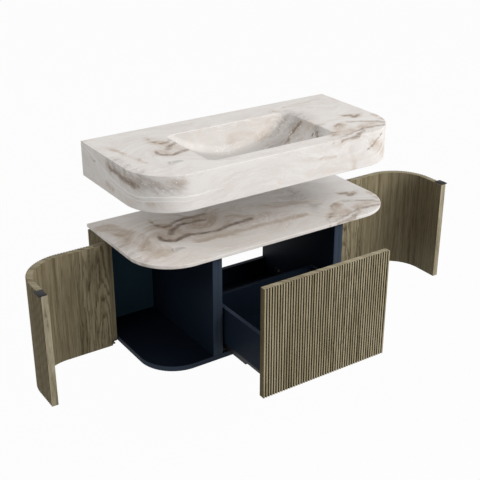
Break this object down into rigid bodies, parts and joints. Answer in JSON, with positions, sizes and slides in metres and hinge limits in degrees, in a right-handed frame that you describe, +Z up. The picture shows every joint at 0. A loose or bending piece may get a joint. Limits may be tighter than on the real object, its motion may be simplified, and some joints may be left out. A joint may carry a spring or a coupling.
{
  "type": "vanity unit",
  "caption": "Wall-hung vanity unit with a veined slab basin above a round-cornered cabinet, curved fluted doors on pivot hinges and a fluted drawer on runners.",
  "frame": {"origin": "centre of the hanging rail's back face, on the wall", "axes": "+X to the right, +Y into the wall, +Z up; the front looks along -Y"},
  "size_m": [1.662, 0.698, 0.705],
  "materials": {
    "marble_solid_surface": "satin off-white with soft brown and grey veins",
    "navy_board": "dark navy melamine, fine matt texture",
    "oak_veneer": "grey-brown oak veneer, matt, upright grain",
    "fluted_oak": "fluted grey-brown oak, matt",
    "black_metal": "matt black powder coat",
    "zinc_steel": "zinc-plated sheet steel",
    "chrome": "polished chrome"
  },
  "bodies": {
    "cabinet": {"basin_apron": "marble_solid_surface", "basin_back_wall": "marble_solid_surface", "basin_bowl": "marble_solid_surface", "basin_deck": "marble_solid_surface", "bottom_panel": "navy_board", "cover_plate": "marble_solid_surface", "hanging_rail": "navy_board", "left_back_panel": "navy_board", "left_drawer_panel": "navy_board", "left_end_partition": "navy_board", "left_lower_hinge_plate": "black_metal", "left_runner_rail": "zinc_steel", "left_side_facing": "fluted_oak", "left_side_panel": "oak_veneer", "left_upper_hinge_plate": "black_metal", "lower_back_rail": "navy_board", "right_back_panel": "navy_board", "right_drawer_panel": "navy_board", "right_end_partition": "navy_board", "right_lower_hinge_plate": "black_metal", "right_runner_rail": "zinc_steel", "right_side_facing": "fluted_oak", "right_side_panel": "oak_veneer", "right_upper_hinge_plate": "black_metal", "waste_body": "chrome", "waste_cover": "chrome", "waste_nut": "chrome"},
    "left_door": {"left_door_panel": "oak_veneer", "left_door_facing": "fluted_oak", "left_door_pull": "black_metal", "left_upper_hinge_arm": "black_metal", "left_lower_hinge_arm": "black_metal", "left_hinge_pins": "zinc_steel"},
    "right_door": {"right_door_panel": "oak_veneer", "right_door_facing": "fluted_oak", "right_door_pull": "black_metal", "right_upper_hinge_arm": "black_metal", "right_lower_hinge_arm": "black_metal", "right_hinge_pins": "zinc_steel"},
    "drawer": {"drawer_front_panel": "oak_veneer", "drawer_front_facing": "fluted_oak", "drawer_left_side": "navy_board", "drawer_right_side": "navy_board", "drawer_inner_front": "navy_board", "drawer_back": "navy_board", "drawer_bottom": "navy_board", "left_runner_slide": "zinc_steel", "right_runner_slide": "zinc_steel"},
    "left_runner": {"left_runner_middle": "zinc_steel"},
    "right_runner": {"right_runner_middle": "zinc_steel"}
  },
  "joints": [
    {"name": "left_door_hinge", "type": "hinge", "parent": "cabinet", "child": "left_door", "pos_m": [-0.493, -0.1285, 0], "axis": [0, 0, 1], "range_deg": [0, 90]},
    {"name": "right_door_hinge", "type": "hinge", "parent": "cabinet", "child": "right_door", "pos_m": [0.493, -0.1285, 0], "axis": [0, 0, -1], "range_deg": [0, 90]},
    {"name": "drawer_slide", "type": "slide", "parent": "cabinet", "child": "drawer", "axis": [0, 1, 0], "range_m": [-0.09, 0.24]},
    {"name": "left_runner_slide_joint", "type": "slide", "parent": "cabinet", "child": "left_runner", "axis": [0, 1, 0], "range_m": [-0.045, 0.12]},
    {"name": "right_runner_slide_joint", "type": "slide", "parent": "cabinet", "child": "right_runner", "axis": [0, 1, 0], "range_m": [-0.045, 0.12]}
  ],
  "couplings": [
    {"joint": "left_runner_slide_joint", "follows": "drawer_slide", "ratio": 0.5},
    {"joint": "right_runner_slide_joint", "follows": "drawer_slide", "ratio": 0.5}
  ]
}
